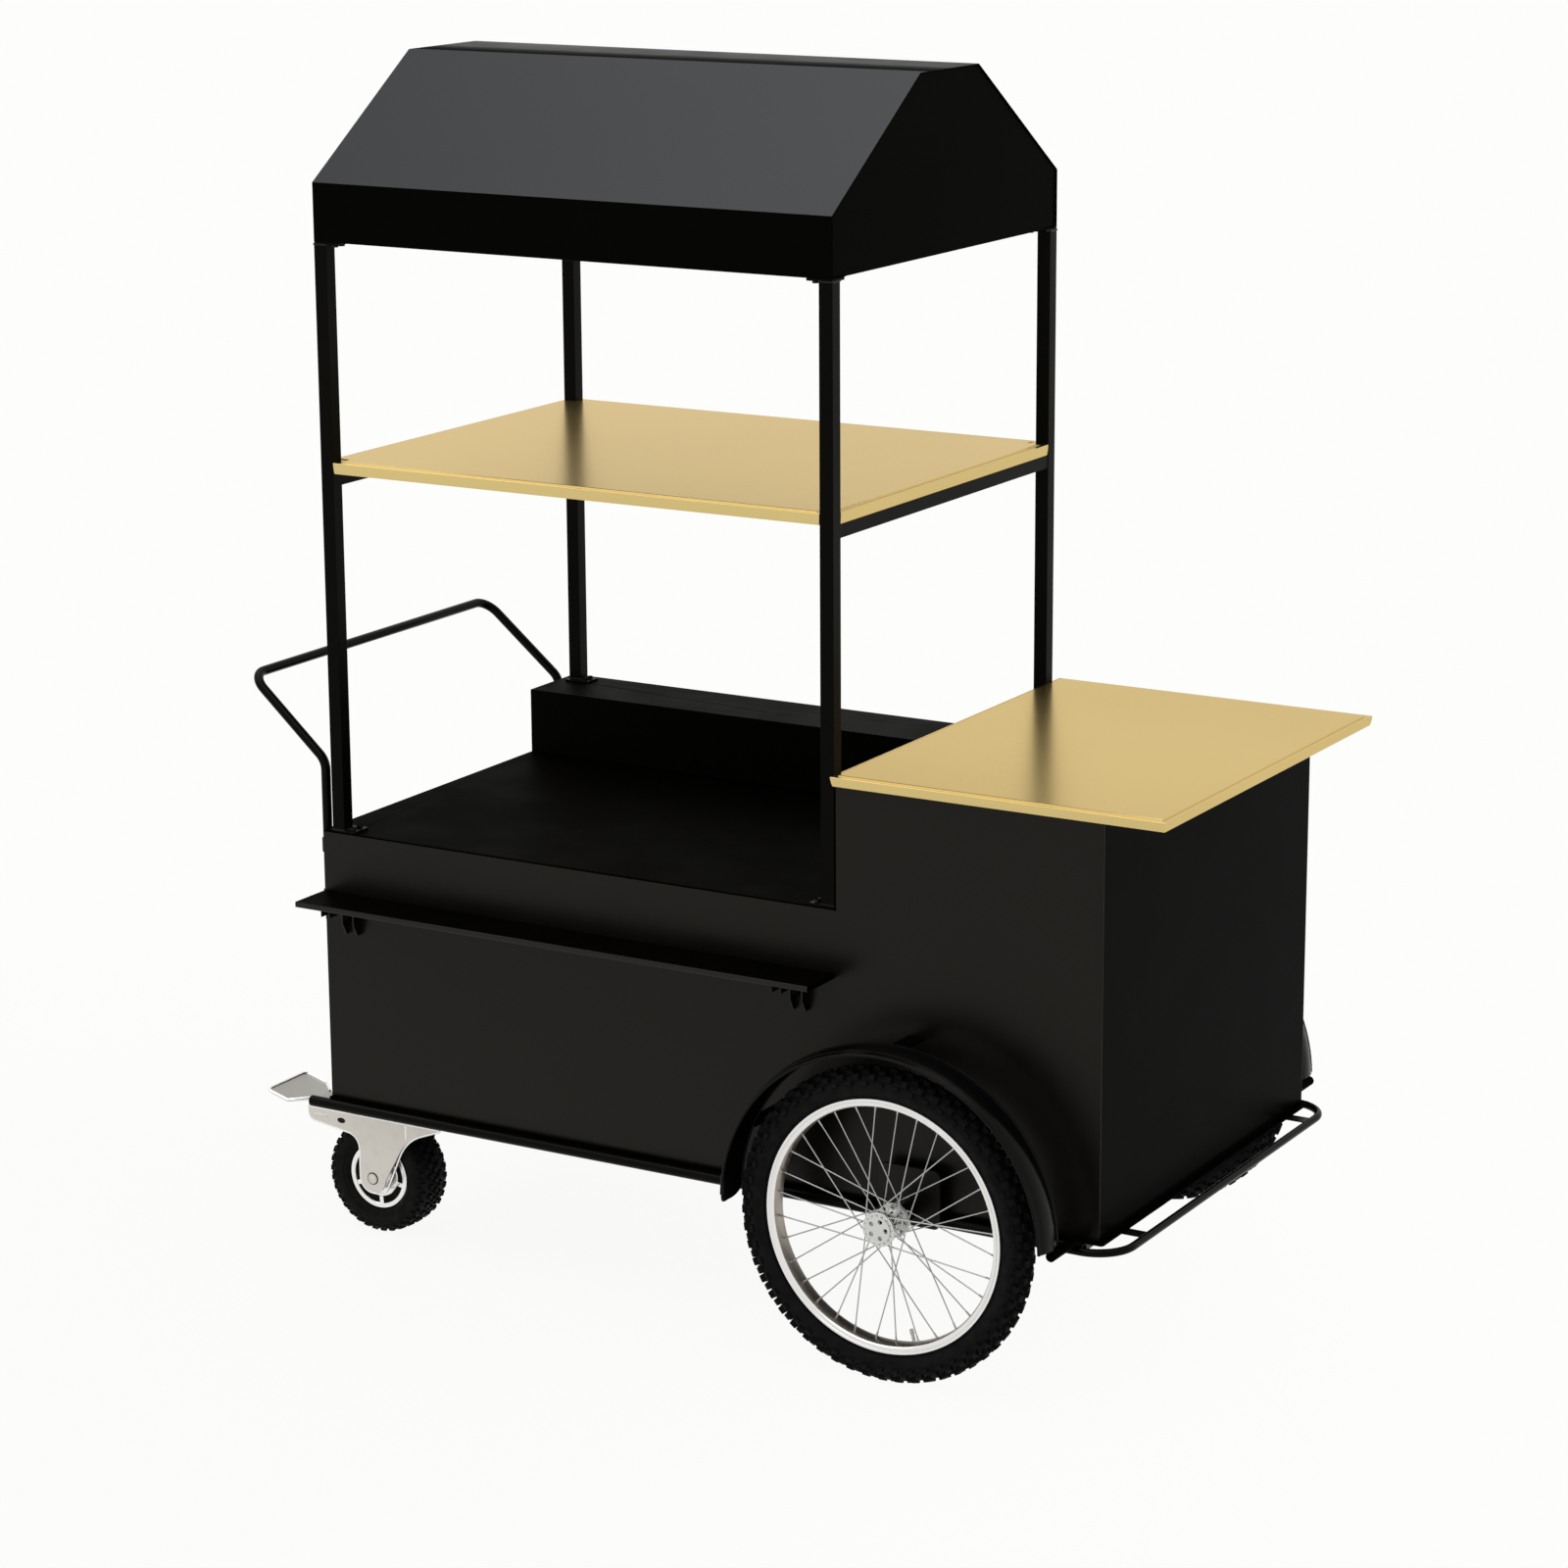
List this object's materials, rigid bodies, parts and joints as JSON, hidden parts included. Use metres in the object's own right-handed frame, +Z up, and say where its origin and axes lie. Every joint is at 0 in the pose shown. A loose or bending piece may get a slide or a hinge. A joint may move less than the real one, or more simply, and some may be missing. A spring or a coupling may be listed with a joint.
{
  "type": "vending cart",
  "caption": "Black sheet-steel vending cart with a stepped cabinet, gold counter and shelf, posted roof, fold-down shelf, push handle, spoked wheels and braked swivel casters.",
  "frame": {"origin": "on the floor, under the middle of the cart's overall box", "axes": "+X from the push handle to the bumper, +Y from the serving side with the fold-down shelf to the back with the doors, +Z up"},
  "size_m": [1.737, 1.031, 2],
  "materials": {
    "black_coat": "satin powder coat",
    "roof_coat": "satin powder coat",
    "gold_plate": "satin gold",
    "rim_steel": "bright",
    "spoke_steel": "bright drawn",
    "hub_alloy": "turned",
    "big_tyre": "moulded rubber",
    "caster_zinc": "zinc plated",
    "caster_white": "enamel",
    "caster_rubber": "moulded rubber",
    "pedal_plate": "embossed",
    "bolt_steel": "blackened"
  },
  "bodies": {
    "cart": {"base_plate": "black_coat", "front_panel": "black_coat", "back_panel": "black_coat", "left_end_panel": "black_coat", "right_end_panel": "black_coat", "deck": "black_coat", "step_wall": "black_coat", "ledge": "black_coat", "corner_angles": "black_coat", "deck_beams": "black_coat", "counter_plate": "gold_plate", "front_posts": "black_coat", "back_posts": "black_coat", "post_bolts": "bolt_steel", "middle_shelf": "gold_plate", "shelf_rails": "black_coat", "roof_skin": "roof_coat", "roof_gables": "black_coat", "handle": "black_coat", "handle_clamps": "black_coat", "side_tubes": "black_coat", "bumper": "black_coat", "cross_rails": "black_coat", "bumper_tabs": "black_coat", "axle_brackets": "black_coat", "wheel_axles": "bolt_steel", "front_fender": "black_coat", "back_fender": "black_coat", "fender_brackets": "black_coat", "front_caster_mount": "caster_zinc", "back_caster_mount": "caster_zinc", "shelf_legs": "black_coat", "door_hinges": "bolt_steel"},
    "front_wheel": {"front_wheel_rim": "rim_steel", "front_wheel_tyre": "big_tyre", "front_wheel_hub": "hub_alloy", "front_wheel_spokes": "spoke_steel"},
    "front_caster": {"front_caster_fork": "caster_white", "front_caster_pins": "caster_zinc"},
    "front_caster_wheel": {"front_caster_rim": "caster_white", "front_caster_tyre": "caster_rubber"},
    "front_pedal": {"front_caster_pedal": "pedal_plate"},
    "back_wheel": {"back_wheel_rim": "rim_steel", "back_wheel_tyre": "big_tyre", "back_wheel_hub": "hub_alloy", "back_wheel_spokes": "spoke_steel"},
    "back_caster": {"back_caster_fork": "caster_white", "back_caster_pins": "caster_zinc"},
    "back_caster_wheel": {"back_caster_rim": "caster_white", "back_caster_tyre": "caster_rubber"},
    "back_pedal": {"back_caster_pedal": "pedal_plate"},
    "fold_shelf": {"fold_leaf": "black_coat", "fold_arms": "black_coat"},
    "left_brace": {"left_brace": "bolt_steel"},
    "right_brace": {"right_brace": "bolt_steel"},
    "left_door": {"left_door": "black_coat", "left_door_pull": "bolt_steel"},
    "right_door": {"right_door": "black_coat", "right_door_pull": "bolt_steel"}
  },
  "joints": [
    {"name": "front_wheel_spin", "type": "hinge", "parent": "cart", "child": "front_wheel", "pos_m": [0.4405, -0.482, 0.258], "axis": [0, 1, 0], "continuous": true},
    {"name": "front_caster_swivel", "type": "hinge", "parent": "cart", "child": "front_caster", "pos_m": [-0.6145, -0.297, 0.212], "axis": [0, 0, 1], "continuous": true},
    {"name": "front_caster_wheel_spin", "type": "hinge", "parent": "front_caster", "child": "front_caster_wheel", "pos_m": [-0.6445, -0.297, 0.1015], "axis": [0, 1, 0], "continuous": true},
    {"name": "front_brake_pedal", "type": "hinge", "parent": "front_caster", "child": "front_pedal", "pos_m": [-0.7075, -0.297, 0.196], "axis": [0, -1, 0], "range_deg": [0, 14]},
    {"name": "back_wheel_spin", "type": "hinge", "parent": "cart", "child": "back_wheel", "pos_m": [0.4405, 0.482, 0.258], "axis": [0, 1, 0], "continuous": true},
    {"name": "back_caster_swivel", "type": "hinge", "parent": "cart", "child": "back_caster", "pos_m": [-0.6145, 0.297, 0.212], "axis": [0, 0, 1], "continuous": true},
    {"name": "back_caster_wheel_spin", "type": "hinge", "parent": "back_caster", "child": "back_caster_wheel", "pos_m": [-0.6445, 0.297, 0.1015], "axis": [0, 1, 0], "continuous": true},
    {"name": "back_brake_pedal", "type": "hinge", "parent": "back_caster", "child": "back_pedal", "pos_m": [-0.7075, 0.297, 0.196], "axis": [0, -1, 0], "range_deg": [0, 14]},
    {"name": "shelf_fold", "type": "hinge", "parent": "cart", "child": "fold_shelf", "pos_m": [-0.201, -0.396, 0.606], "axis": [1, 0, 0], "range_deg": [0, 90]},
    {"name": "left_brace_fold", "type": "hinge", "parent": "cart", "child": "left_brace", "pos_m": [-0.6355, -0.396, 0.58], "axis": [1, 0, 0], "range_deg": [0, 130]},
    {"name": "right_brace_fold", "type": "hinge", "parent": "cart", "child": "right_brace", "pos_m": [0.2335, -0.396, 0.58], "axis": [1, 0, 0], "range_deg": [0, 130]},
    {"name": "left_door_swing", "type": "hinge", "parent": "cart", "child": "left_door", "pos_m": [-0.643, 0.391, 0.48], "axis": [0, 0, 1], "range_deg": [0, 100]},
    {"name": "right_door_swing", "type": "hinge", "parent": "cart", "child": "right_door", "pos_m": [0.094, 0.391, 0.48], "axis": [0, 0, -1], "range_deg": [0, 90]}
  ],
  "couplings": [
    {"joint": "left_brace_fold", "follows": "shelf_fold", "ratio": 1.425},
    {"joint": "right_brace_fold", "follows": "shelf_fold", "ratio": 1.425}
  ]
}
